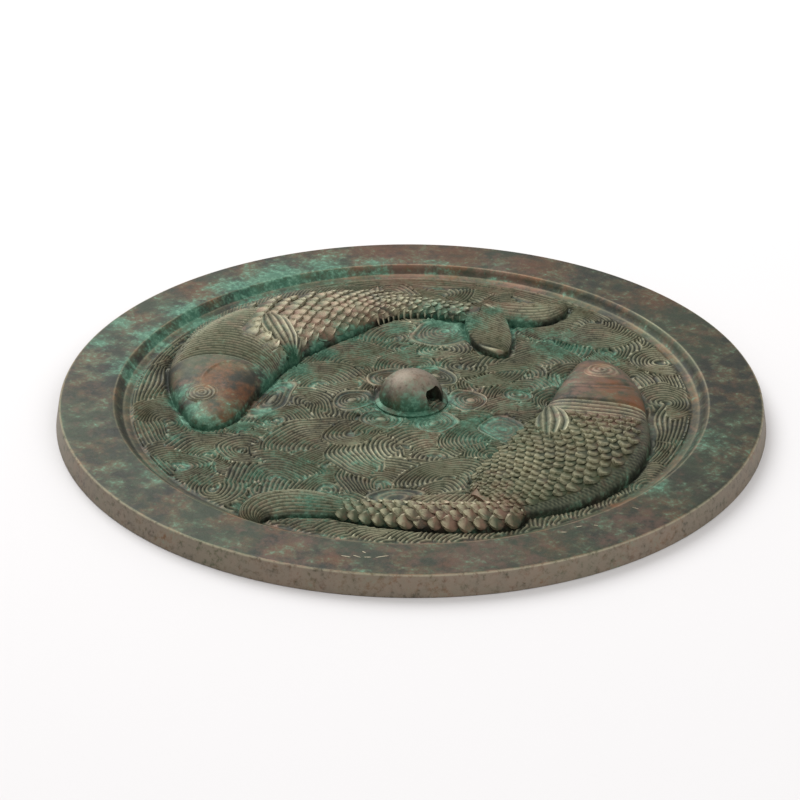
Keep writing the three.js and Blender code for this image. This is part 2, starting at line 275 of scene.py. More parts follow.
RIGHT_PECTORAL = [(48.5, -20, 4, 107), (49.4, -25.2, 7.6, 117), (49.8, -31.5, 8.6, 117),
                  (48.6, -38, 6.4, 103), (47.6, -42, 2, 79)]
STEM = [(36.5, -81, 2.5, 46), (31, -84.5, 6, 59), (15, -86, 6.5, 59), (0, -85, 6.2, 55),
        (-12.5, -82.9, 5.5, 52), (-24, -80, 4.5, 45)]
RIGHT_TAIL = [(-20, -81, 3.5, 45), (-30, -77, 6.6, 43), (-39, -75.4, 7.6, 43), (-46.5, -77, 7.6, 43),
              (-51.6, -81.4, 6, 40), (-52.6, -86.3, 3.6, 34), (-50.6, -90.8, 1, 21)]
ANAL_FIN = [(27, -75, 3, 38), (18, -75.5, 5, 38), (9, -75, 4, 34), (0, -73, 1.5, 24)]

left_body, right_body, stem = Figure(LEFT_BODY), Figure(RIGHT_BODY, gill_bend=0.06), Figure(STEM)
left_dorsal, left_pectoral = Figure(LEFT_DORSAL), Figure(LEFT_PECTORAL)
lower_lobe, upper_lobe = Figure(LOWER_LOBE, 5), Figure(UPPER_LOBE, 5)
right_pectoral, right_tail, anal_fin = Figure(RIGHT_PECTORAL), Figure(RIGHT_TAIL), Figure(ANAL_FIN)
standing = [left_body, left_dorsal, lower_lobe, upper_lobe, right_body, stem, right_tail, anal_fin]
print("left fish", round(left_body.length), "mm long, right fish", round(right_body.length), "mm long")

# %% [markdown]
# ## The water
#
# The ground is covered with bundles of fine parallel lines, each a fan or a curl that laps over the
# ones before it, like a wash of water over sand. A height map on a square grid would blur such lines,
# because they are only about a millimetre apart. So mesh points are laid along each crest and each
# groove, points that a later bundle covers are left out, and one triangulation joins all of them.

# %% The bundles of water: centre, inner and outer radius, first angle and sweep in degrees
BUNDLES = [
    (0, 0, 88, 99, 165, 60), (0, 0, 88, 99, 228, 28), (0, 0, 90, 99, 262, 40), (0, 0, 90, 99, 306, 30),
    (0, 0, 88, 99, -20, 36), (0, 0, 90, 99, 22, 44), (0, 0, 92, 99, 75, 30),
    (-84, -20, 2, 20, -90, 260), (-80, -50, 2, 18, -100, 240), (-58, -74, 2, 18, 90, 260),
    (-30, -66, 2, 22, 20, 190), (-8, -62, 2, 18, 10, 200), (12, -60, 2, 16, 20, 170),
    (-16, -14, 2, 22, 130, 200), (18, 52, 2, 16, -60, 240), (-20, 22, 2, 22, 20, 250),
    (2, 22, 2, 16, 10, 180), (24, 36, 2, 20, -80, 230), (44, 24, 2, 20, 10, 240),
    (40, -2, 2, 20, 60, 250), (36, -18, 2, 20, 90, 200), (16, -24, 2, 16, -30, 200),
    (80, 46, 2, 18, -80, 260), (74, 38, 2, 12, -60, 300), (60, 56, 2, 18, -60, 240),
    (-50, -46, 2, 20, 0, 220), (-26, -50, 2, 18, -10, 220),
    (-71, -42, 2, 17, -70, 230), (-66, -66, 1, 11, 120, 290), (-46, -58, 2, 18, 10, 190),
    (-48, -19, 1, 14, -70, 250), (-30, -36, 2, 21, 40, 150), (-5, -37, 2, 24, 120, 130),
    (6, -42, 2, 22, 10, 130), (30, -34, 2, 21, 50, 140), (-32, 8, 2, 18, 40, 190),
    (-6, 48, 1, 14, -40, 230), (12, 37, 1, 9, 130, 290), (34, 12, 2, 16, 10, 190),
    (90, -3, 1, 13, -80, 300), (92, 28, 1, 11, 50, 290), (52, 44, 2, 17, -50, 190),
    (68, 62, 2, 22, -130, 130), (30, 22, 1, 13, 170, 180), (-36, -6, 1, 12, -40, 230),
    (-58, -40, 1, 10, 40, 280), (-22, -26, 1, 10, 100, 260), (20, 24, 1, 8, 100, 280),
]


# %% Small fans, scattered by a fixed seed, lie under the drawn bundles and fill the gaps
SMALL_FANS = 90
chance = np.random.default_rng(7)
small_fans = []
for k in range(SMALL_FANS):
    away, spin = 88 * math.sqrt((k + 0.5) / SMALL_FANS), 2.4 * k
    small_fans.append((away * math.cos(spin), away * math.sin(spin), 1, chance.uniform(10, 15),
                       chance.uniform(-60, 60), chance.uniform(170, 260)))

# A comb of slanting lines along the front edge, where each fan laps over the one before
front_comb = []
for k in range(13):
    spin = math.radians(-122 + 7 * k)
    front_comb.append((104 * math.cos(spin), 104 * math.sin(spin), 3, 17, math.degrees(spin) + 90, 150))
BUNDLES = small_fans + BUNDLES[:7] + front_comb + BUNDLES[7:]


# %% Points along the crests and grooves of one bundle
def arc_rows(bundle):
    """Rows of x, y, crest, and how near the bundle's outer edge each point is."""
    x, y, inner, outer, start, sweep = bundle
    place = []
    radii = np.arange(outer * SHARE, max(inner * SHARE, 0.8), -LINE_PITCH / 2)
    for line, radius in enumerate(radii):
        count = max(4, int(math.radians(sweep) * radius / POINT_STEP))
        angle = np.radians(start + sweep * (np.arange(count) + 0.5 * (line % 2)) / count)
        high = np.full(count, float(line % 2 == 0 and line < len(radii) - 1))
        near_edge = np.full(count, (radius / SHARE - inner) / (outer - inner))
        arc_x, arc_y = x * SHARE + radius * np.cos(angle), y * SHARE + radius * np.sin(angle)
        place.append(np.column_stack([arc_x, arc_y, high, near_edge]))
    return np.vstack(place)


def ground_rows():
    """Rings round the middle, a little wavy, where no bundle lies."""
    rows, radius, lines = [], FIELD - 0.5, 0
    while radius > KNOB_RADIUS:
        count = int(2 * math.pi * radius / POINT_STEP)
        angle = 2 * math.pi * (np.arange(count) + 0.5 * (lines % 2)) / count
        wavy = radius + 0.5 * np.sin(9 * angle + radius / 5) * (radius < FIELD - 3)
        rows.append(np.column_stack([wavy * np.cos(angle), wavy * np.sin(angle),
                                     np.full(count, float(lines % 2)), np.zeros(count)]))
        radius -= LINE_PITCH / 2
        lines += 1
    return np.vstack(rows)


# %% Which bundle lies on top at each place, on a fine grid
CELL = 0.2
side_cells = int(2 * FIELD / CELL) + 1
cell_line = (np.arange(side_cells) + 0.5) * CELL - FIELD
cell_x, cell_y = np.meshgrid(cell_line, cell_line, indexing="ij")
NO_BUNDLE, UNDER_FISH, OVAL = -1, 1000, 2000
top_bundle = np.full((side_cells, side_cells), NO_BUNDLE)

for number, (x, y, inner, outer, start, sweep) in enumerate(BUNDLES):
    dx, dy = cell_x - x * SHARE, cell_y - y * SHARE
    away = np.hypot(dx, dy)
    past = np.degrees(np.arctan2(dy, dx) - math.radians(start)) % 360
    inside = (away < outer * SHARE + 0.05) & (away > inner * SHARE - 0.4) & (past < sweep)
    top_bundle[inside] = number


def cells_of(points):
    index = ((np.asarray(points)[:, :2] + FIELD) / CELL).astype(int)
    return np.clip(index, 0, side_cells - 1).T


for figure in standing:
    u, v = np.meshgrid(np.linspace(0, 1, int(figure.length / 0.12)), np.linspace(-0.97, 0.97, 260))
    top_bundle[tuple(cells_of(figure.skin(u.ravel(), v.ravel())))] = UNDER_FISH

# %% [markdown]
# ## The flower round the knob, and the still pools
#
# Six shallow petals stand round the knob, each with a raised outline. A few pools of still water and a
# leaf lie among the waves, with a faint edge. All of them are ovals: they claim their cells of the same
# map, and their points follow the oval's rings instead of arcs.

# %% The ovals: centre, half length, half width, heading in degrees, rise.
# Their outline is drawn by rings: share of the oval's size, height, crest
PETAL_COUNT = 6
PETAL_DISTANCE = 15.6
PETAL_LENGTH = 11.2
PETAL_WIDTH = 13.4
OUTLINE_RINGS = [(1.04, -0.2, 0), (0.99, 0.3, 0.5), (0.94, 0.7, 1), (0.88, 0.6, 0.7), (0.82, 0.1, 0)]
ovals = [(9, 42, 10.5, 10, 20, 0.5), (-39.5, -1, 12.5, 5.2, 57, 0.7), (26, -19, 9, 5.5, -60, 0.35),
         (-4, -55, 9, 4.5, 10, 0.35), (31, 1, 4.5, 4.2, 0, 0.7), (22, 33, 6, 5, 80, 0.3)]
for k in range(PETAL_COUNT):
    spin = 360 * k / PETAL_COUNT
    x, y = PETAL_DISTANCE * math.cos(math.radians(spin)), PETAL_DISTANCE * math.sin(math.radians(spin))
    ovals.append((x, y, PETAL_LENGTH / 2, PETAL_WIDTH / 2, spin, 0.7))


def oval_points():
    """Rows of x, y, height, number of the oval, crest and groove."""
    rows = []
    for number, (x, y, half_length, half_width, spin, rise) in enumerate(ovals):
        cos, sin = math.cos(math.radians(spin)), math.sin(math.radians(spin))
        dx = (cell_x - x) * cos + (cell_y - y) * sin
        dy = (cell_y - y) * cos - (cell_x - x) * sin
        inside = (np.hypot(dx / half_length, dy / half_width) < 1.02) & (top_bundle != UNDER_FISH)
        top_bundle[inside] = OVAL + number
        rings = list(OUTLINE_RINGS)
        step = LINE_PITCH / 2 / half_width
        for k, share in enumerate(np.arange(OUTLINE_RINGS[-1][0] - step, step, -step)):
            rings.append((share, 0.5 * (k % 2), 0.9 * (k % 2)))
        for share, high, lit in rings:
            count = max(6, int(math.pi * share * (half_length + half_width) / POINT_STEP))
            angle = 2 * math.pi * np.arange(count) / count
            px, py = share * half_length * np.cos(angle), share * half_width * np.sin(angle)
            rows.append(np.column_stack([
                x + px * cos - py * sin, y + px * sin + py * cos, np.full(count, high * rise),
                np.full(count, number), np.full(count, lit * rise), np.full(count, 1.0 - lit)]))
    return np.vstack(rows)


oval_rows = oval_points()

# %% All the points of the ground, thinned where two bundles meet
ring_count = 480
ring_angle = 2 * math.pi * np.arange(ring_count) / ring_count
ring = np.column_stack([FIELD * np.cos(ring_angle), FIELD * np.sin(ring_angle)])
places = [ring]
levels, crests, grooves = ([np.zeros(ring_count)] for _ in range(3))


def take(points, level, crest, groove):
    """Keeps the points that lie within the field, with their values."""
    inside = np.hypot(points[:, 0], points[:, 1]) < FIELD - 0.3
    places.append(points[inside, :2])
    for kept, values in ((levels, level), (crests, crest), (grooves, groove)):
        kept.append(values[inside])


oval_here = oval_rows[top_bundle[tuple(cells_of(oval_rows))] == OVAL + oval_rows[:, 3]]
take(oval_here, oval_here[:, 2] - LINE_DEPTH * oval_here[:, 4], oval_here[:, 4], oval_here[:, 5])

# A fan rises to its outer edge, so that it laps over its neighbour
EDGE_RISE = 0.4
for number, bundle in reversed(list(enumerate(BUNDLES))):
    rows = arc_rows(bundle)
    rows = rows[top_bundle[tuple(cells_of(np.clip(rows[:, :2], -FIELD, FIELD)))] == number]
    take(rows, EDGE_RISE * rows[:, 3] ** 2, rows[:, 2], 1 - rows[:, 2])
rows = ground_rows()
rows = rows[top_bundle[tuple(cells_of(rows))] == NO_BUNDLE]
take(rows, rows[:, 3], rows[:, 2], 1 - rows[:, 2])

# Under a fish and the knob nothing shows, so a few points are enough there
sparse = np.arange(-FIELD, FIELD, 2.5)
hidden = np.stack(np.meshgrid(sparse, sparse), -1).reshape(-1, 2)
hidden = hidden[top_bundle[tuple(cells_of(hidden))] == UNDER_FISH]
take(hidden, *[np.zeros(len(hidden))] * 3)
take(np.zeros((1, 2)), *[np.zeros(1)] * 3)

place = np.vstack(places)
level = np.concatenate(levels)
crest = np.concatenate(crests)
groove = np.concatenate(grooves)

# One point is kept in each square of this width, and the outer ring is kept whole
THIN = 0.24
_, first = np.unique(np.floor(place / THIN).astype(int), axis=0, return_index=True)
first = np.union1d(first, np.arange(ring_count))
place, level, crest, groove = place[first], level[first], crest[first], groove[first]
print("ground points:", len(place))

# %% Bend all the lines a little, as a hand draws them, but not at the rim or the knob
SWAY = 1.3
SMALL_SWAY = 0.45
radius_here = np.hypot(place[:, 0], place[:, 1])
calm = smooth_step(FIELD - radius_here, 1, 9) * smooth_step(radius_here, KNOB_RADIUS, KNOB_RADIUS + 8)
x, y = place.T
sway_x = SWAY * np.sin(0.17 * y + 0.09 * x + 0.5) + SMALL_SWAY * np.sin(0.43 * y - 0.31 * x)
sway_y = SWAY * np.sin(0.19 * x - 0.07 * y + 1.7) + SMALL_SWAY * np.sin(0.39 * x + 0.35 * y + 2)
place = place + np.column_stack([sway_x, sway_y]) * calm[:, None]

# %% Crevices round every raised figure
CREVICE_WIDTH = 1.1
CREVICE_DEPTH = 0.5
outlines = np.vstack([f.outline() for f in standing])
foot_angle = np.linspace(0, 2 * math.pi, 160)
foot = (KNOB_RADIUS + KNOB_FOOT) * np.column_stack([np.cos(foot_angle), np.sin(foot_angle)])
tree = kdtree.KDTree(len(outlines) + len(foot))
for index, (x, y) in enumerate(np.vstack([outlines, foot])):
    tree.insert((x, y, 0), index)
tree.balance()
from_figure = np.array([tree.find((x, y, 0))[2] for x, y in place])
crevice = np.exp(-((from_figure / CREVICE_WIDTH) ** 2))
level = level * (1 - crevice) - CREVICE_DEPTH * crevice
crest = crest * (1 - crevice)
edge_fade = smooth_step(radius_here, FIELD - 1.6, FIELD)
level = level * (1 - edge_fade)
crest = crest * (1 - edge_fade)

# %% One triangulation joins the points
found = delaunay_2d_cdt([Vector((x, y)) for x, y in place], [], [], 0, 1e-6)
ground_faces = [tuple(face) for face in found[2]]
assert len(found[0]) == len(place), "the triangulation has added or dropped points"
a, b, c = place[ground_faces[0][0]], place[ground_faces[0][1]], place[ground_faces[0][2]]
if np.cross(b - a, c - a) < 0:
    ground_faces = [face[::-1] for face in ground_faces]
print("ground triangles:", len(ground_faces))

# %% [markdown]
# ## The disc
#
# Rim, bevel and step are turned, as a founder's pattern is on a wheel. Rings of points run from the
# edge of the water over the rim, down the side and under the polished face, so ground and rim are one
# closed skin.

# %% Turn the rim and join it to the ground
RIM_INNER = RIM_RADIUS - RIM_WIDTH
LEDGE_OUTER = RIM_INNER - BEVEL_WIDTH
LEDGE = GROUND + LEDGE_RISE

# Painted shade, with soil and salts, in the grooves and over the rim top, as the finish reads it
GROOVE_SHADE = 0.9
RIM_SHADE = 0.7

# On the rim the third column paints pale lines along the edges, partly wear and partly painted highlight,
# and the fourth paints the bevel's foot and the whole rim top darker, as painted shade.
# The rows of the rim: radius, height, crest, hollow
PROFILE = [
    (FIELD + 0.35, GROUND + 0.06, 0, 0.4), (FIELD + 1.2, LEDGE - 0.12, 0, 0),
    (LEDGE_OUTER - 0.25, LEDGE, 0.3, 0), (LEDGE_OUTER + 0.25, LEDGE + 0.18, 0, 0.8),
    (LEDGE_OUTER + 1.2, LEDGE + 1.2, 0, 0.6), (RIM_INNER - 0.35, RIM_HEIGHT - 0.22, 0, 0.2),
    (RIM_INNER + 0.1, RIM_HEIGHT - 0.04, 0.4, 0),
    *[(RIM_INNER + 0.5 + (RIM_WIDTH - EDGE_ROUND - 0.8) * k / 9, RIM_HEIGHT, 0, RIM_SHADE)
      for k in range(10)],
    (RIM_RADIUS - EDGE_ROUND, RIM_HEIGHT - 0.04, 0.5, 0), (RIM_RADIUS - 0.18, RIM_HEIGHT - 0.2, 1, 0),
    (RIM_RADIUS, RIM_HEIGHT - EDGE_ROUND, 0, 0),
    *[(RIM_RADIUS + SIDE_FLARE * k / 5, (RIM_HEIGHT - EDGE_ROUND) * (1 - k / 5), 0, 0)
      for k in range(1, 5)],
    (RIM_RADIUS + SIDE_FLARE - 0.05, 0.2, 0, 0), (RIM_RADIUS + SIDE_FLARE - 0.25, 0, 0, 0),
    *[((RIM_RADIUS - 0.5) * (1 - k / 9), 0, 0, 0) for k in range(9)],
]
radii, heights, rim_crest, rim_hollow = np.array(PROFILE).T

# The side is worn nearly to clean metal, a pale that is partly wear and partly painted light, making it
# lighter than the rim. The polished face isn't seen, so its half-worn look is a guess.
SIDE_BARE_AND_LIGHT = 0.8
POLISHED_BARE = 0.5
rim_bare_and_light = np.where(radii > RIM_RADIUS - 0.3, SIDE_BARE_AND_LIGHT, 0)
rim_bare_and_light[heights == 0] = POLISHED_BARE


def all_round(row_values):
    """A value for each point of every row, and 0 for the middle of the polished face."""
    return np.append(np.repeat(row_values, ring_count), 0)


disc = Piece()
# Crevices round the figures and the grooves between lines are painted dark: painted shade, with soil and
# salts
shade = np.clip(np.maximum(crevice * 1.2, GROOVE_SHADE * groove), 0, 1)
disc.add(np.column_stack([place, GROUND + level]), ground_faces, crest, shade)

# The rim's faces count from the disc's first point, because the first ring is the edge of the ground
starts = [0, *(disc.count + i * ring_count for i in range(len(PROFILE)))]
next_to = [*range(1, ring_count), 0]
rim_faces = [(inner + j, outer + j, outer + k, inner + k)
             for inner, outer in zip(starts, starts[1:]) for j, k in enumerate(next_to)]
rim_faces += [(starts[-1] + k, starts[-1] + j, starts[-1] + ring_count) for j, k in enumerate(next_to)]
rim_x = np.append(np.outer(radii, np.cos(ring_angle)), 0)
rim_y = np.append(np.outer(radii, np.sin(ring_angle)), 0)
rim_points = np.column_stack([rim_x, rim_y, all_round(heights)])
disc.add(rim_points, [], all_round(rim_crest), all_round(rim_hollow), all_round(rim_bare_and_light))
disc.faces.extend(rim_faces)
print("disc points:", disc.count, "faces:", len(disc.faces))

# %% Old scratches in the rim: x, y, length, heading in degrees.
# Each is a thin leaf, whose outline is given in halves of its length and width
SCRATCHES = [(-16.9, -90.8, 2.7, -16), (-14.1, -90.8, 2.4, -30), (-11.3, -91.2, 2, 0),
             (-7.7, -90.9, 3.7, 16), (-12.3, -88.7, 1.4, -43), (59, -65.9, 2, -30), (43.6, -75.5, 1.7, 18),
             (39.4, -78.4, 1.8, 0), (48, -74.9, 1.1, -14)]
SCRATCH_WIDTH = 0.3
SCRATCH_RISE = 0.05
SCRATCH_ROOT = 0.3
LEAF = [(-1, 0), (-0.6, -1), (0.6, -1), (1, 0), (0.6, 1), (-0.6, 1)]
for x, y, length, heading in SCRATCHES:
    along = np.array([math.cos(math.radians(heading)), math.sin(math.radians(heading))])
    side = np.array([-along[1], along[0]])
    corners = [np.array([x, y]) + ahead * along * length / 2 + aside * side * SCRATCH_WIDTH / 2
               for ahead, aside in LEAF]
    low, high = RIM_HEIGHT - SCRATCH_ROOT, RIM_HEIGHT + SCRATCH_RISE
    points = [(*corner, z) for z in (low, high) for corner in corners]
    disc.add(points, outward(points, ring_faces(2, len(LEAF))), 1.0, 0.0, 1.0)

# %% [markdown]
# ## The knob
#
# The knob is a dome that a cord goes through. The hole runs along X, as in the CAD. A Boolean cuts it,
# the one place here where a cut is simpler than a drawn surface.

# %% The knob and its hole
HOLE_WIDTH = 6.4
HOLE_HEIGHT = 5.2
HOLE_SILL = 0.5
HOLE_ROUND = 1.6
HOLE_STEPS = 6
KNOB_ROWS = 16
KNOB_SIDES = 72
KNOB_BARE = 0.75
KNOB_SHADE = 0.3


def knob_object():
    foot_rise = KNOB_FOOT * 0.6
    high = KNOB_TOP - GROUND
    profile = [(KNOB_RADIUS + KNOB_FOOT, -ROOT), (KNOB_RADIUS + KNOB_FOOT, 0),
               (KNOB_RADIUS + foot_rise, foot_rise / 2), (KNOB_RADIUS + 0.25, foot_rise * 0.8)]
    for i in range(KNOB_ROWS):
        angle = math.pi / 2 * i / KNOB_ROWS
        profile.append((KNOB_RADIUS * math.cos(angle), foot_rise + (high - foot_rise) * math.sin(angle)))
    around = 2 * math.pi * np.arange(KNOB_SIDES) / KNOB_SIDES
    points = [np.column_stack([r * np.cos(around), r * np.sin(around), np.full(KNOB_SIDES, GROUND + z)])
              for r, z in profile]
    points = np.vstack(points + [np.array([[0, 0, KNOB_TOP]])])
    faces = ring_faces(len(profile), KNOB_SIDES, closed_ends=False)
    faces.append(tuple(range(KNOB_SIDES))[::-1])
    last = (len(profile) - 1) * KNOB_SIDES
    tip = last + KNOB_SIDES
    faces += [(last + j, last + (j + 1) % KNOB_SIDES, tip) for j in range(KNOB_SIDES)]
    return plain_object("knob_dome", points, outward(points, faces))


def hole_object():
    half, low = HOLE_WIDTH / 2, GROUND + HOLE_SILL
    top = low + HOLE_HEIGHT
    outline = [(-half, low), (half, low)]
    for corner, start in ((half - HOLE_ROUND, 0), (-half + HOLE_ROUND, math.pi / 2)):
        for i in range(HOLE_STEPS + 1):
            angle = start + math.pi / 2 * i / HOLE_STEPS
            outline.append((corner + HOLE_ROUND * math.cos(angle),
                            top - HOLE_ROUND + HOLE_ROUND * math.sin(angle)))
    reach = KNOB_RADIUS + KNOB_FOOT + 2
    points = [(x, y, z) for x in (-reach, reach) for y, z in outline]
    n = len(outline)
    faces = [(j, (j + 1) % n, n + (j + 1) % n, n + j) for j in range(n)]
    faces += [tuple(range(n))[::-1], tuple(range(n, 2 * n))]
    return plain_object("cord_hole", points, outward(points, faces))


dome, bar = knob_object(), hole_object()
cut = dome.modifiers.new("cord hole", "BOOLEAN")
cut.object = bar
cut.operation = "DIFFERENCE"
cut.solver = "EXACT"
pierced = bpy.data.meshes.new_from_object(dome.evaluated_get(bpy.context.evaluated_depsgraph_get()))
bpy.data.objects.remove(dome)
bpy.data.objects.remove(bar)

# The knob is made in the frame of the CAD, and all the carving is turned later, so it is turned back here
back = np.array(Matrix.Rotation(-CARVING_TURN, 3, "Z"))
knob_points = np.array([v.co for v in pierced.vertices]) @ back.T
knob_faces = [tuple(p.vertices) for p in pierced.polygons]
knob_height = knob_points[:, 2] - GROUND
# The knob's foot is painted darker, as painted shade, and its top pale, as worn metal
pale_metal_share = KNOB_BARE * smooth_step(knob_height, 2, 7)
disc.add(knob_points, knob_faces, 0.0, KNOB_SHADE * (1 - smooth_step(knob_height, 0, 3)), pale_metal_share)
print("knob faces:", len(knob_faces))


# %% [markdown]
# ## The fish
#
# A fish is a smooth head plate, a ruff of fine lines behind it, and a body under scales. The skin is a
# fine grid that follows the body, so that its steps run along the grid and stay crisp. The eye is laid
# on the skin, as a set of rings on one fish and as a line that winds inwards on the other.

# %% The skin of a fish: how far its plate, its ruff and the lines of its back stand proud
FACE_RISE = 0.9
FACE_SHADE = 0.2
RUFF_RISE = 0.6
BACK_PITCH = 1.15
BACK_RISE = 0.35

# Rows of mesh for each line of the ruff, and columns across the body
SAMPLES = 4
BODY_COLUMNS = 104


def collar_edge(v, collar_end, lag):
    """Where the ruff ends, which is further back on the fish's outer side."""
    return collar_end + lag * smooth_step(v, 0.0, 0.6)


def fish_skin(piece, figure, face_end, collar_end, lag, line_pitch, back_from, creases, plate=None):
    """back_from is how far across the fine lines of its back begin, and plate adds a form to its face.

    A row is named by iso, the place where it crosses the middle of the body. Its ends bend back.
    """
    rows = int(figure.length / line_pitch * SAMPLES) + 1
    iso, v = grid(np.linspace(0, 1, rows), round_columns(BODY_COLUMNS))
    fade = np.where(iso < collar_end, iso, collar_end * (1 - iso) / (1 - collar_end))
    bend = figure.gill_bend * fade
    u = np.clip(iso - bend * v**2, 0, 1)
    face = 1 - smooth_step(iso, face_end - 0.002, face_end + 0.004)
    edge = collar_edge(v, collar_end, lag)
    ruff = smooth_step(iso, face_end + 0.004, face_end + 0.01) * (1 - smooth_step(iso - edge, 0, 0.01))
    wave = 0.5 + 0.5 * np.cos(2 * math.pi * iso * (rows - 1) / SAMPLES)
    proud = FACE_RISE * face + RUFF_RISE * ruff * wave
    # The ruff's crests are painted pale, partly wear and partly painted highlight, and its grooves dark, as
    # painted shade; the face plate is painted darker
    crest = ruff * wave
    hollow = 0.7 * ruff * (1 - wave) + FACE_SHADE * face
    bars = (rows - 1) / round(SAMPLES * BACK_PITCH / line_pitch)
    stripe = 0.5 + 0.5 * np.cos(2 * math.pi * bars * (iso + 0.1 * v))
    back = smooth_step(v, back_from, back_from + 0.06) * smooth_step(iso, face_end + 0.03, face_end + 0.06)
    proud = proud + BACK_RISE * back * stripe
    crest = np.maximum(crest, 0.5 * back * stripe)
    hollow = np.maximum(hollow, back * (0.9 - 0.5 * stripe))
    for place, depth, breadth in creases:
        inside = smooth_step(0.85 - np.abs(v), 0, 0.2)
        cut = inside * np.exp(-(((iso + 0.03 * v**2 - place) / breadth) ** 2))
        proud = proud - depth * cut
        hollow = np.maximum(hollow, 0.7 * cut)
    if plate is not None:
        spot = figure.skin(u, v)
        proud = proud + plate(spot[..., 0], spot[..., 1]) * face
    # The foot of the body's wall is painted dark, as painted shade, with green salts
    hollow = np.maximum(hollow, smooth_step(np.abs(v), 0.93, 0.995))
    points, faces = figure.shell(u, v, proud)
    piece.add(points, faces, padded(crest), padded(hollow))


def gill_cover(x, y):
    """A low oval cover over the gills, with a lip on the side away from the snout."""
    away = np.hypot((x + 52) / 9, (y + 5) / 16)
    lip = np.exp(-(((away - 1) / 0.06) ** 2)) * smooth_step(x + 0.4 * (y + 5), -60, -54)
    return 0.2 * (1 - smooth_step(away, 0.94, 1.04)) + 0.4 * lip


# %% The eye: its sides, and how far its foot, rings and middle lie from the face plate
EYE_SIDES = 40
EYE_ROOT = 0.5
EYE_LIFT = 0.08
EYE_DOME = 0.25
RING_RISE = 0.3


def eye(piece, figure, u, v, radius, rings, spiral=False):
    """A low dome of raised rings, or of one raised line that winds inwards."""
    around = 2 * math.pi * np.arange(EYE_SIDES) / EYE_SIDES
    shares = [1.12, *np.linspace(1, 0.04, rings * 4 + 1)]
    points, crest = [], []
    for share in shares:
        wave = 0.5 + 0.5 * np.cos(2 * math.pi * share * rings + spiral * around)
        if share > 1:
            proud = -EYE_ROOT
        else:
            proud = EYE_LIFT + RING_RISE * wave * (share < 0.97) + EYE_DOME * (1 - share)
        reach = share * radius
        points.append(figure.skin(u + reach * np.cos(around) / figure.length,
                                  v + reach * np.sin(around) / figure.width(u), FACE_RISE + proud))
        crest.append(wave * (share <= 1) * 0.7)
    points = np.vstack(points)
    # The eye's rings are painted pale, partly wear and partly painted highlight
    piece.add(points, outward(points, ring_faces(len(shares), EYE_SIDES)), np.concatenate(crest), 0.0)


# %% Teeth
def teeth(piece, figure, start, end, count):
    """Pointed scales in a row along the narrow end of a body, their tips down on the water."""
    half = 0.5 * (end - start) / (count - 1)
    for u in np.linspace(start, end, count):
        root_a, root_b = figure.skin(u - half, -0.72, 0.2), figure.skin(u + half, -0.72, 0.2)
        ridge, tip = figure.skin(u, -0.88, 0.7), figure.skin(u, -1.2) + (0, 0, 0.5)
        feet = [corner * (1, 1, 0) + (0, 0, GROUND - ROOT) for corner in (root_a, tip, root_b)]
        points = [root_a, tip, root_b, *feet, ridge]
        faces = [(0, 3, 4, 1), (1, 4, 5, 2), (2, 5, 3, 0), (3, 5, 4), (0, 1, 6), (1, 2, 6), (2, 0, 6)]
        # Each tooth's tip is painted pale, partly wear and partly painted highlight, and its root and foot
        # dark, as painted shade
        piece.add(points, outward(points, faces), (0, 1, 0, 0, 0, 0, 1), (0.6, 0, 0.6, 1, 1, 1, 0))


# %% Fins: ribs along them or ribs across them
def valleys(v, wave):
    """Green salts gather, and shade is painted dark, between ribs and along the edges of a fin."""
    return np.maximum(0.6 * (1 - wave), smooth_step(np.abs(v), 0.9, 1))


def rayed(piece, figure, rays, rise):
    """Ridges run from the root of the fin to its tip."""
    rows = max(8, int(figure.length / 0.6))
    u, share = grid(np.linspace(0, 1, rows), np.linspace(0, 1, rays * 4 + 1))
    v = np.sin((share - 0.5) * math.pi * 0.94) / math.sin(0.47 * math.pi)
    wave = 0.5 - 0.5 * np.cos(2 * math.pi * share * rays)
    points, faces = figure.shell(u, v, rise * wave)
    piece.add(points, faces, padded(wave), padded(valleys(v, wave)))


def barred(piece, figure, pitch, slant, rise, columns, crest_gain=1.0):
    """Ridges run across the fin, slanting."""
    bars = int(figure.length / pitch)
    u, v = grid(np.linspace(0, 1, bars * 4 + 1), round_columns(columns))
    wave = 0.5 - 0.5 * np.cos(2 * math.pi * u * bars)
    inside = smooth_step(u, 0, 0.06) * (1 - smooth_step(u, 0.94, 1))
    points, faces = figure.shell(u + slant * v * inside, v, rise * wave)
    piece.add(points, faces, padded(wave * crest_gain), padded(valleys(v, wave)))


def plain_body(piece, figure, rows, columns):
    """A smooth body, for scales to lie on."""
    u, v = grid(np.linspace(0, 1, rows), round_columns(columns))
    points, faces = figure.shell(u, v, 0.0)
    # The body's edges are painted dark, as painted shade, with green salts
    piece.add(points, faces, 0.0, padded(smooth_step(np.abs(v), 0.9, 1)))


# %% [markdown]
# ## The scales
#
# Hundreds of scales overlap like roof tiles, each pointing to the tail and rising to its tip. Geometry
# Nodes suit this: one small scale is put at every point of a set that follows the body, turned by a
# stored angle, with its length, width and rise as the tree's named inputs.


# %% One scale, a closed leaf with a thin rim
def scale_shape():
    """Its rows give the place along it, half the width and the height. The base is sunk in the body."""
    lengthwise = [(-0.62, 0.16, 0.0), (-0.35, 0.44, 0.15), (-0.05, 0.5, 0.42), (0.2, 0.42, 0.68),
                  (0.4, 0.24, 0.9), (0.52, 0.05, 1.0)]
    crosswise = [(-1, 0.3), (-0.74, 1.0), (0, 0.55), (0.74, 1.0), (1, 0.3)]
    points = []
    for along, half, rise in lengthwise:
        points += [(along, side * half, rise * share) for side, share in crosswise]
        points.append((along, 0, -0.9))
    faces = ring_faces(len(lengthwise), len(crosswise) + 1)
    return plain_object("one_scale", points, outward(points, faces))


# How far a scale may turn, in radians, and drift, in millimetres, as a modeller's hand does
SCALE_SKEW = 0.11
SCALE_DRIFT = 0.14


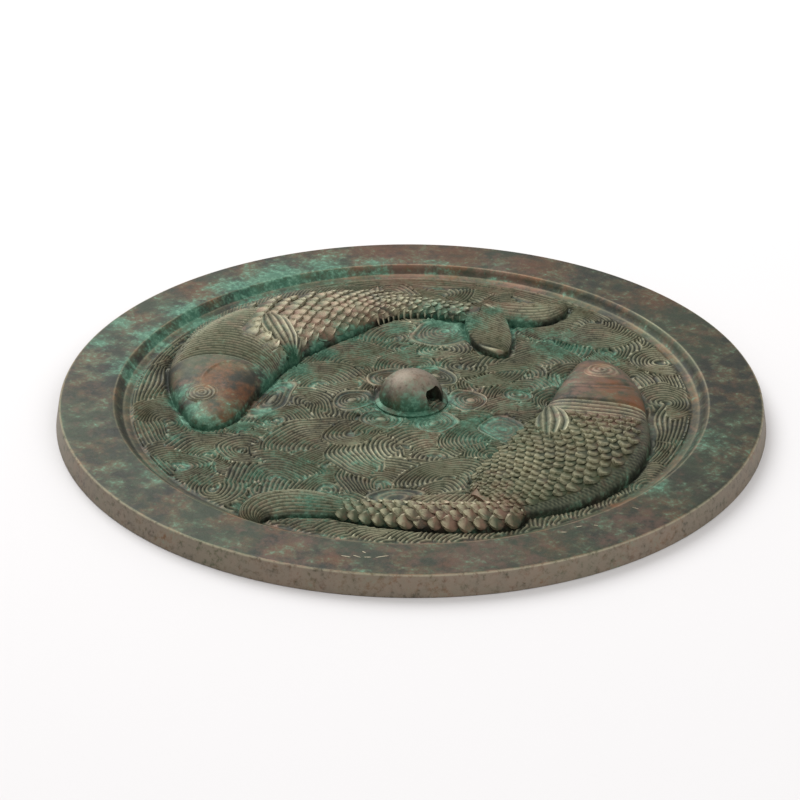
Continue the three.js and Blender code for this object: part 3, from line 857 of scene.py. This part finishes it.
def scale_places(figure, start, end, pitch, wide, lag, to_v, seed):
    """Where scales sit: the place, the turn and the size of each."""
    places, turns, sizes = [], [], []
    uneven = np.random.default_rng(seed)
    widest = figure.width(np.linspace(0.2, 0.7, 20)).max()
    u, odd = start, 0
    while u < end:
        size = max(0.55, figure.width(u) / widest)
        bend = figure.gill_bend * start * max(0, 1 - (u - start) / (end - start))
        row_v = np.linspace(-1, 1, 400)
        skin = figure.skin(u, row_v)
        run = np.concatenate([[0], np.cumsum(np.linalg.norm(np.diff(skin, axis=0), axis=1))])
        count = max(3, int(run[-1] / (wide * size)))
        for k in range(count + 1):
            v = np.interp((k + 0.5 * (odd % 2)) / count * run[-1], run, row_v)
            if not -0.94 < v < to_v or u < collar_edge(v, start, lag) - 0.002:
                continue
            here = u - bend * v * v
            spot = figure.skin(here, v)
            along = figure.skin(here + 0.004, v) - figure.skin(here - 0.004, v)
            across = figure.skin(here, v + 0.01) - figure.skin(here, v - 0.01)
            along, across = Vector(along).normalized(), Vector(across).normalized()
            out = along.cross(across)
            if out.z < 0:
                out = -out
            out.normalize()
            side = out.cross(along).normalized()
            skew = Matrix.Rotation(uneven.normal(0, SCALE_SKEW), 3, "Z")
            turn = (Matrix((along, side, out)).transposed() @ skew).to_euler()
            places.append(tuple(spot + uneven.normal(0, SCALE_DRIFT, 3) * (1, 1, 0.5)))
            turns.append(tuple(turn))
            sizes.append(size)
        u += pitch * size / figure.length
        odd += 1
    return places, turns, sizes


# %% Small helpers for trees
def node(tree, kind, settings=None, inputs=None):
    """Adds a node with its settings, and sets or links its inputs, given by name or number."""
    made = tree.nodes.new(kind)
    for name, value in (settings or {}).items():
        setattr(made, name, value)
    for name, value in (inputs or {}).items():
        if isinstance(value, bpy.types.NodeSocket):
            tree.links.new(value, made.inputs[name])
        else:
            made.inputs[name].default_value = value
    return made


def new_tree(name, **inputs):
    """A tree that takes and gives Geometry, and its inputs by name."""
    tree = bpy.data.node_groups.new(name, "GeometryNodeTree")
    for title, kind in {"Geometry": "Geometry", **inputs}.items():
        tree.interface.new_socket(title, in_out="INPUT", socket_type="NodeSocket" + kind)
    tree.interface.new_socket("Geometry", in_out="OUTPUT", socket_type="NodeSocketGeometry")
    return tree, node(tree, "NodeGroupInput").outputs


def end_tree(tree, geometry, finish):
    """Every tree ends by making its geometry real and giving it the finish."""
    real = node(tree, "GeometryNodeRealizeInstances", None, {"Geometry": geometry})
    dressed = node(tree, "GeometryNodeSetMaterial", None, {"Geometry": real.outputs[0], "Material": finish})
    node(tree, "NodeGroupOutput", None, {"Geometry": dressed.outputs[0]})


def stored(tree, name, kind="FLOAT"):
    """A value that the mesh holds for each point."""
    made = node(tree, "GeometryNodeInputNamedAttribute", {"data_type": kind}, {"Name": name})
    return made.outputs["Attribute"]


def made_by(tree, base, **chosen):
    """The mesh that a tree makes from an object, which is then removed."""
    setter = base.modifiers.new("tree", "NODES")
    setter.node_group = tree
    for socket in tree.interface.items_tree:
        if socket.in_out == "INPUT" and socket.name in chosen:
            setter[socket.identifier] = chosen[socket.name]
    made = bpy.data.meshes.new_from_object(base.evaluated_get(bpy.context.evaluated_depsgraph_get()))
    bpy.data.objects.remove(base)
    return made


# %% The tree that sets the scales
SCALE_UNEVEN = 0.16


def scale_tree():
    tree, given = new_tree("set scales on a body", Scale="Object", Length="Float", Width="Float",
                           Rise="Float", Seed="Int", Finish="Material")
    whole = node(tree, "ShaderNodeCombineXYZ", None,
                 {"X": given["Length"], "Y": given["Width"], "Z": given["Rise"]})
    uneven = node(tree, "FunctionNodeRandomValue", {"data_type": "FLOAT"},
                  {2: 1 - SCALE_UNEVEN, 3: 1 + SCALE_UNEVEN, "Seed": given["Seed"]})
    grow = node(tree, "ShaderNodeMath", {"operation": "MULTIPLY"},
                {0: stored(tree, "size"), 1: uneven.outputs[1]})
    sized = node(tree, "ShaderNodeVectorMath", {"operation": "SCALE"},
                 {"Vector": whole.outputs[0], "Scale": grow.outputs[0]})
    shape = node(tree, "GeometryNodeObjectInfo", {"transform_space": "ORIGINAL"}, {"Object": given["Scale"]})
    spin = node(tree, "FunctionNodeEulerToRotation", None, {"Euler": stored(tree, "turn", "FLOAT_VECTOR")})
    set_on = node(tree, "GeometryNodeInstanceOnPoints", None, {
        "Points": given["Geometry"], "Instance": shape.outputs["Geometry"],
        "Rotation": spin.outputs[0], "Scale": sized.outputs[0]})
    end_tree(tree, set_on.outputs[0], given["Finish"])
    return tree


bronze = bpy.data.materials.new("patinated bronze")
one_scale = scale_shape()
scales = scale_tree()


# A scale is a little wider than its place, so that it laps over its neighbours
SCALE_LAP = 1.12


def add_scales(piece, figure, start, end, pitch, length, width, rise, seed, lag, to_v):
    """Sets rows of scales from start to end along a body, and up to to_v across it."""
    places, turns, sizes = scale_places(figure, start, end, pitch, width, lag, to_v, seed)
    points = plain_object("scale_points", places, [])
    layer = points.data.attributes.new("turn", "FLOAT_VECTOR", "POINT")
    layer.data.foreach_set("vector", np.asarray(turns, np.float32).ravel())
    set_values(points.data, "size", sizes)
    made = made_by(scales, points, Scale=one_scale, Length=length, Width=width * SCALE_LAP, Rise=rise,
                   Seed=seed, Finish=bronze)
    faces = [tuple(p.vertices) for p in made.polygons]
    shape = np.array([v.co for v in one_scale.data.vertices])
    # Each scale's tip is painted pale, partly wear and partly painted highlight, and its sunk base dark, as
    # painted shade between the scales
    tip = np.tile(smooth_step(shape[:, 0], -0.1, 0.45) * (shape[:, 2] > -0.5), len(places))
    sunk = np.tile(1 - smooth_step(shape[:, 2], -0.3, 0.25), len(places))
    piece.add([v.co for v in made.vertices], faces, tip, sunk)
    print(len(places), "scales,", len(faces), "faces")


# %% The left fish
left_fish = Piece()
fish_skin(left_fish, left_body, face_end=0.26, collar_end=0.385, lag=0.13, line_pitch=1.5, back_from=0.78,
          creases=[], plate=gill_cover)
eye(left_fish, left_body, u=0.1, v=0.27, radius=4.7, rings=4)
add_scales(left_fish, left_body, start=0.39, end=0.965, pitch=3.4, length=6.3, width=4.2, rise=1.25,
           seed=3, lag=0.13, to_v=0.76)
teeth(left_fish, left_body, start=0.74, end=0.96, count=14)
barred(left_fish, left_dorsal, pitch=1.25, slant=0.08, rise=0.3, columns=10, crest_gain=0.6)
rayed(left_fish, left_pectoral, rays=9, rise=0.75)
barred(left_fish, lower_lobe, pitch=1.6, slant=0.2, rise=0.8, columns=18)
rayed(left_fish, upper_lobe, rays=9, rise=0.8)
print("left fish:", left_fish.count, "points")

# %% The right fish, whose face has two creases: place, depth and breadth
right_fish = Piece()
fish_skin(right_fish, right_body, face_end=0.335, collar_end=0.42, lag=0, line_pitch=2.2, back_from=0.8,
          creases=[(0.235, 0.4, 0.006), (0.26, 0.2, 0.004)])
eye(right_fish, right_body, u=0.135, v=0.08, radius=5, rings=3, spiral=True)
add_scales(right_fish, right_body, start=0.425, end=0.97, pitch=2.5, length=4.8, width=3.3, rise=1.3,
           seed=5, lag=0, to_v=0.78)
rayed(right_fish, right_pectoral, rays=8, rise=0.7)
plain_body(right_fish, stem, rows=160, columns=24)
add_scales(right_fish, stem, start=0.03, end=0.97, pitch=1.9, length=3.9, width=3.9, rise=1.5,
           seed=7, lag=0, to_v=0.94)
rayed(right_fish, right_tail, rays=11, rise=0.6)
barred(right_fish, anal_fin, pitch=1.5, slant=0.12, rise=0.6, columns=10)
print("right fish:", right_fish.count, "points")
bpy.data.objects.remove(one_scale)

# %% [markdown]
# ## Colour that follows the place
#
# Old bronze isn't one colour. Copper salts bloom green where damp lay, iron and tin give rust and grey,
# and handling rubs the high places bare; their pale cream here is also painted highlight. Each stain is a
# soft spot with a centre and a radius in millimetres, and each point of the mesh keeps how much of each
# stain it has.

# %% Stains: x, y, radius, strength, before the carving is turned
VERDIGRIS = [
    (-57, -19, 5, 1), (-63, -13, 5, 1), (-66, -4, 5, 1), (-48, -18, 5, 1), (-42, -9, 5, 0.9),
    (-40, 8, 6, 1), (-34, 18, 6, 1), (-26, 28, 6, 1), (-18, 36, 6, 0.9), (-4, 44, 5, 0.9), (8, 50, 7, 1),
    (15, 44, 4, 0.8), (-82, 14, 8, 0.7), (-76, 34, 8, 0.9), (-66, 50, 8, 1), (-52, 66, 9, 1),
    (-42, 76, 10, 1), (-28, 82, 9, 0.7), (-10, 84, 6, 0.7), (8, 84, 5, 0.5), (26, 80, 5, 0.4),
    (32, 45, 6, 1), (44, 34, 10, 0.9), (54, 30, 8, 0.7), (2, -11, 8, 1), (-10, -6, 7, 0.9),
    (-66, -24, 5, 0.8), (11, -2, 5, 0.7), (16, 46, 8, 1), (24, 52, 5, 0.8),
    (-14, -38, 10, 0.3), (-36, -46, 18, 0.5), (-22, -60, 14, 0.6), (20, -20, 14, 0.7), (40, 8, 10, 0.6),
    (30, 0, 10, 0.5), (58, -92, 8, 0.6), (80, -30, 10, 0.4), (-92, 30, 6, 0.6), (-88, 42, 6, 0.7),
    (-60, -40, 14, 0.5), (-44, -14, 12, 0.6), (0, 28, 14, 0.5), (-26, 6, 10, 0.4), (64, -54, 6, 0.5),
]
RUST = [
    (-48, -4, 9, 1), (-55, 2, 10, 0.8), (-53, -16, 10, 0.8), (52, 12, 9, 0.7), (58, -2, 9, 0.8),
    (63, -10, 7, 1), (-84, 44, 14, 0.8), (-66, 66, 14, 0.9), (-50, 82, 14, 0.9), (-30, 92, 14, 0.8),
    (-8, 95, 18, 1), (14, 93, 16, 1), (40, 84, 16, 0.9), (74, 60, 16, 0.8), (56, -62, 8, 0.8),
    (-92, 20, 12, 0.6), (-14, 10, 6, 0.4), (20, 26, 8, 0.3), (94, 10, 14, 0.5), (-48, -72, 8, 0.8),
    (-36, -78, 7, 0.7), (90, -30, 14, 0.6), (-94, -10, 12, 0.4), (-20, -92, 6, 0.9), (8, -94, 5, 0.8),
]

# A thin brown lies all round the rim
RIM_SPOTS = 16
for k in range(RIM_SPOTS):
    spin = 2 * math.pi * k / RIM_SPOTS
    RUST.append((92 * math.cos(spin), 92 * math.sin(spin), 16, 0.6))
PINK = [
    (-30, 38, 10, 0.8), (-38, 44, 12, 0.5), (-20, 52, 12, 0.6), (54, 2, 14, 0.6), (54, -20, 9, 0.7),
    (0, 2, 8, 0.4), (10, -66, 14, 0.6), (22, -2, 8, 0.5), (-6, 22, 8, 0.4), (0, 82, 16, 0.8),
    (30, 78, 12, 0.7), (28, 58, 8, 0.5), (4, -24, 8, 0.5), (16, -92, 20, 0.6), (-30, -88, 16, 0.5),
    (60, -78, 16, 0.5), (23, -67, 7, 0.8),
]
# Where the crests are painted palest: partly rubbed metal, partly painted highlight
CREAM = [
    (50, -32, 14, 1), (30, -46, 16, 1), (40, -54, 12, 0.6), (-3, -68, 14, 1), (13, -69, 12, 1),
    (44, -43, 12, 0.8), (-40, 30, 8, 0.9), (-2, 52, 7, 0.7), (-11, -34, 9, 1), (-25, 4, 9, 0.6),
    (4, -28, 9, 0.6), (-33, -17, 7, 0.6), (-55, -32, 9, 0.5), (-72, 34, 12, 0.8), (-80, 8, 8, 0.7),
    (70, 42, 10, 0.9), (78, 12, 12, 0.6), (-52, -56, 6, 0.5), (-32, -56, 9, 0.5), (24, -4, 5, 0.3),
    (10, 28, 6, 0.5), (-36, 56, 14, 0.3), (-20, 60, 12, 0.3), (23, 44, 10, 0.5), (38, 54, 10, 0.5),
    (76, 22, 8, 0.8), (0, 48, 8, 0.8), (64, -14, 8, 0.6),
]


def spots(points, stains):
    total = np.zeros(len(points))
    for x, y, radius, strength in stains:
        away = (points[:, 0] - x) ** 2 + (points[:, 1] - y) ** 2
        total = np.maximum(total, strength * np.exp(-away / radius**2))
    return total


def finished(piece, name, nodes):
    """Turns the gathered parts into one object in the row's frame."""
    points = np.vstack(piece.points)
    spin = np.array(Matrix.Rotation(CARVING_TURN, 3, "Z"))
    made = plain_object(name, points @ spin.T * MM, piece.faces)
    mesh = made.data
    set_values(mesh, "crest", np.concatenate(piece.crest))
    set_values(mesh, "hollow", np.concatenate(piece.hollow))
    set_values(mesh, "bare_and_light", np.concatenate(piece.bare_and_light))
    for stain, places in (("verdigris", VERDIGRIS), ("rust", RUST), ("pink", PINK), ("cream", CREAM)):
        set_values(mesh, stain, spots(points, places))
    mesh.materials.append(bronze)
    mesh.polygons.foreach_set("use_smooth", np.ones(len(mesh.polygons), bool))
    mesh.set_sharp_from_angle(angle=math.radians(50))
    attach(made, "root")
    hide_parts(*nodes)
    mesh.calc_loop_triangles()
    print(name, "has", len(mesh.loop_triangles), "triangles")


# %% [markdown]
# ## Lines with depth
#
# The fans of water have their slope by now, but no lines. A second small tree lifts each point by its
# crest value times one named depth, so the depth of all the lines is one number to try.


# %% The tree that lifts the lines
def lift_tree():
    tree, given = new_tree("lift the lines of water", Depth="Float", Finish="Material")
    high = node(tree, "ShaderNodeMath", {"operation": "MULTIPLY"},
                {0: stored(tree, "line"), 1: given["Depth"]})
    move = node(tree, "ShaderNodeCombineXYZ", None, {"Z": high.outputs[0]})
    lifted = node(tree, "GeometryNodeSetPosition", None,
                  {"Geometry": given["Geometry"], "Offset": move.outputs[0]})
    end_tree(tree, lifted.outputs[0], given["Finish"])
    return tree


def lift_lines(piece):
    """Lifts the ground's points, which are the first part of the piece, and puts them back."""
    points = plain_object("water_points", piece.points[0], [])
    set_values(points.data, "line", piece.crest[0])
    made = made_by(lift_tree(), points, Depth=LINE_DEPTH, Finish=bronze)
    piece.points[0] = np.array([v.co for v in made.vertices])


lift_lines(disc)

# %% [markdown]
# ## The finish: patinated bronze
#
# The metal is high-tin bronze, cast and then buried: a dull brown skin over metal, with copper
# carbonates, called verdigris, in the hollows together with painted shade, and brighter metal on the
# rubbed crests together with painted highlight. Its base is dark and only partly metallic, because
# corrosion isn't metal. Noise of a few millimetres gives the blotches, and finer noise gives the pits.


# %% Colours and the finish
def linear(hex_colour):
    """An sRGB hex value as the linear colour that Blender's sockets hold."""
    values = [int(hex_colour[i : i + 2], 16) / 255 for i in (0, 2, 4)]
    return (*[v / 12.92 if v <= 0.04045 else ((v + 0.055) / 1.055) ** 2.4 for v in values], 1.0)


OLIVE_BROWN = linear("584e38")
DARK_OLIVE = linear("30322a")
GREEN_GREY = linear("434f38")
GREEN_SALT = linear("336653")
PALE_SALT = linear("6b9680")
RUST_BROWN = linear("744628")
PINK_BROWN = linear("785a4b")
# The cream below paints rubbed metal and painted highlight, the metal colour also paints light on the side,
# and the deep soil colour paints soil and painted shade in the hollows
WORN_AND_HIGHLIGHT_CREAM = linear("bbb799")
BARE_AND_LIT_METAL = linear("867b6d")
SOIL_AND_SHADE = linear("131a16")


def noise(tree, place, size_mm, detail=4.0, roughness=0.6):
    """Noise whose blotches are about size_mm wide."""
    return node(tree, "ShaderNodeTexNoise", None, {
        "Vector": place, "Scale": 1 / (size_mm * MM), "Detail": detail, "Roughness": roughness}).outputs[0]


def bronze_finish(material):
    material.use_nodes = True
    tree = material.node_tree
    tree.nodes.clear()
    place = node(tree, "ShaderNodeTexCoord").outputs["Object"]

    def share_of(name):
        """How much of a stain or of wear the mesh holds at each point."""
        return node(tree, "ShaderNodeAttribute", {"attribute_name": name}).outputs["Fac"]

    def number(operation, a, b, c=0.0):
        """Arithmetic on shares, which is kept from 0 to 1 unless it pushes a noise up."""
        clamped = operation != "MULTIPLY_ADD"
        settings = {"operation": operation, "use_clamp": clamped}
        return node(tree, "ShaderNodeMath", settings, {0: a, 1: b, 2: c}).outputs[0]

    def between(value, low, high):
        """0 below low, 1 above high and a soft step from one to the other."""
        return node(tree, "ShaderNodeMapRange", {"interpolation_type": "SMOOTHSTEP"},
                    {"Value": value, "From Min": low, "From Max": high}).outputs[0]

    def blend(share, under, over):
        """A colour with a share of another colour over it."""
        return node(tree, "ShaderNodeMix", {"data_type": "RGBA"}, {0: share, 6: under, 7: over}).outputs[2]

    broad = noise(tree, place, 26, 3)
    patchy = noise(tree, place, 7, 5, 0.65)
    mottle = noise(tree, place, 4.3, 4, 0.7)
    fine = noise(tree, place, 1.6, 5, 0.7)
    grain = noise(tree, place, 0.45, 3, 0.6)
    crest, hollow = share_of("crest"), share_of("hollow")

    # The brown and olive skin, grey-green in broad areas, then pink and rusty patches
    colour = blend(between(patchy, 0.38, 0.64), DARK_OLIVE, OLIVE_BROWN)
    colour = blend(number("MULTIPLY", between(broad, 0.42, 0.6), 0.65), colour, GREEN_GREY)
    pink_push = number("MULTIPLY_ADD", share_of("pink"), 0.35, mottle)
    colour = blend(number("MULTIPLY", between(pink_push, 0.5, 0.8), 0.75), colour, PINK_BROWN)
    rust_push = number("MULTIPLY_ADD", share_of("rust"), 0.4, patchy)
    colour = blend(number("MULTIPLY", between(rust_push, 0.62, 0.95), 0.85), colour, RUST_BROWN)

    # Pale metal where the brown skin is gone, which on the side is also painted light, and pale cream on the
    # crests, partly rubbed metal and partly painted highlight
    pale_metal_share = number("MULTIPLY", share_of("bare_and_light"), between(fine, 0.25, 0.55))
    colour = blend(pale_metal_share, colour, BARE_AND_LIT_METAL)
    cream_here = number("MULTIPLY_ADD", share_of("cream"), 0.65, 0.34)
    rubbed_and_highlit = number("MULTIPLY", number("MULTIPLY", crest, cream_here), between(fine, 0.25, 0.58))
    colour = blend(rubbed_and_highlit, colour, WORN_AND_HIGHLIGHT_CREAM)

    # Verdigris where it was wet and in the hollows, and in the hollows that it leaves, dark soil and painted
    # shade
    salt_push = number("MULTIPLY_ADD", share_of("verdigris"), 0.4, patchy)
    salt_push = number("MULTIPLY_ADD", hollow, 0.2, salt_push)
    salt_push = number("MULTIPLY_ADD", fine, 0.6, salt_push)
    salt_here = number("MULTIPLY", between(salt_push, 0.89, 1.3), 0.85)
    salt = blend(between(fine, 0.42, 0.72), GREEN_SALT, PALE_SALT)
    colour = blend(salt_here, colour, salt)
    soil_and_shade_here = number("MULTIPLY", hollow, number("SUBTRACT", 1.0, salt_here))
    colour = blend(number("MULTIPLY", soil_and_shade_here, 0.8), colour, SOIL_AND_SHADE)

    # Pits and grain too fine for the mesh
    rough = number("MULTIPLY_ADD", fine, 0.35, 0.36)
    height = number("MULTIPLY_ADD", grain, 0.35, fine)
    bump = node(tree, "ShaderNodeBump", None, {"Height": height, "Strength": 0.35, "Distance": 0.25 * MM})
    shader = node(tree, "ShaderNodeBsdfPrincipled", None, {
        "Base Color": colour, "Roughness": rough, "Metallic": 0.45, "Specular IOR Level": 0.3,
        "Normal": bump.outputs[0]})
    node(tree, "ShaderNodeOutputMaterial", None, {"Surface": shader.outputs[0]})


bronze_finish(bronze)

# %% The finished pieces
finished(disc, "disc_and_knob", ["mirror", "knob"])
finished(left_fish, "left_fish", ["mirror"])
finished(right_fish, "right_fish", ["mirror"])

# %% [markdown]
# ## Floor, light and camera
#
# A flat sheet of pale paper, one broad light above and behind, and a weaker one in front give the even
# light of a museum photograph. The camera looks down at 28 degrees through a long lens, from far back.


# %% The floor, a hair below the mirror
def stage_floor():
    reach = 6.0
    points = [(-reach, -reach, 0), (reach, -reach, 0), (reach, reach, 0), (-reach, reach, 0)]
    floor = plain_object("paper_floor", points, [(0, 1, 2, 3)])
    paper = bpy.data.materials.new("matt paper")
    paper.use_nodes = True
    surface = paper.node_tree.nodes["Principled BSDF"]
    surface.inputs["Base Color"].default_value = linear("d8d7d8")
    surface.inputs["Roughness"].default_value = 0.9
    floor.data.materials.append(paper)
    floor.location.z = -0.02 * MM


stage_floor()


# %% The lights
def area_light(name, place, size, power):
    lamp = bpy.data.lights.new(name, "AREA")
    lamp.shape = "DISK"
    lamp.size = size
    lamp.energy = power
    made = bpy.data.objects.new(name, lamp)
    bpy.context.scene.collection.objects.link(made)
    made.location = place
    made.rotation_euler = (-Vector(place)).to_track_quat("-Z", "Y").to_euler()


to_row = Matrix.Rotation(CARVING_TURN, 3, "Z")
area_light("broad light behind", to_row @ Vector((-0.5, 0.9, 1.1)), 1.1, 20)
area_light("fill in front", to_row @ Vector((0.8, -0.9, 1.2)), 1.4, 9)
world = bpy.data.worlds.new("white studio")
world.use_nodes = True
world.node_tree.nodes["Background"].inputs["Color"].default_value = linear("f5f3f1")
world.node_tree.nodes["Background"].inputs["Strength"].default_value = 0.75
bpy.context.scene.world = world

# %% The camera, fitted to the photograph's rim
CAMERA_PLACE = Vector((-0.0032, -0.6815, 0.3664))
LOOK_DOWN = math.radians(28.06)
ROLL = math.radians(0.21)
PIXELS = 800
FOCAL_PIXELS = 2702.3
SENSOR = 36.0
camera_data = bpy.data.cameras.new("camera")
camera_data.sensor_width = SENSOR
camera_data.lens = SENSOR * FOCAL_PIXELS / PIXELS
camera_data.clip_start = 0.01
camera_data.clip_end = 50
camera = bpy.data.objects.new("camera", camera_data)
bpy.context.scene.collection.objects.link(camera)
ahead = to_row @ Vector((0, math.cos(LOOK_DOWN), -math.sin(LOOK_DOWN)))
upright = ahead.to_track_quat("-Z", "Y").to_matrix() @ Matrix.Rotation(ROLL, 3, "Z")
camera.matrix_world = Matrix.Translation(to_row @ CAMERA_PLACE) @ upright.to_4x4()
bpy.context.scene.camera = camera
bpy.context.scene.view_settings.view_transform = "Standard"
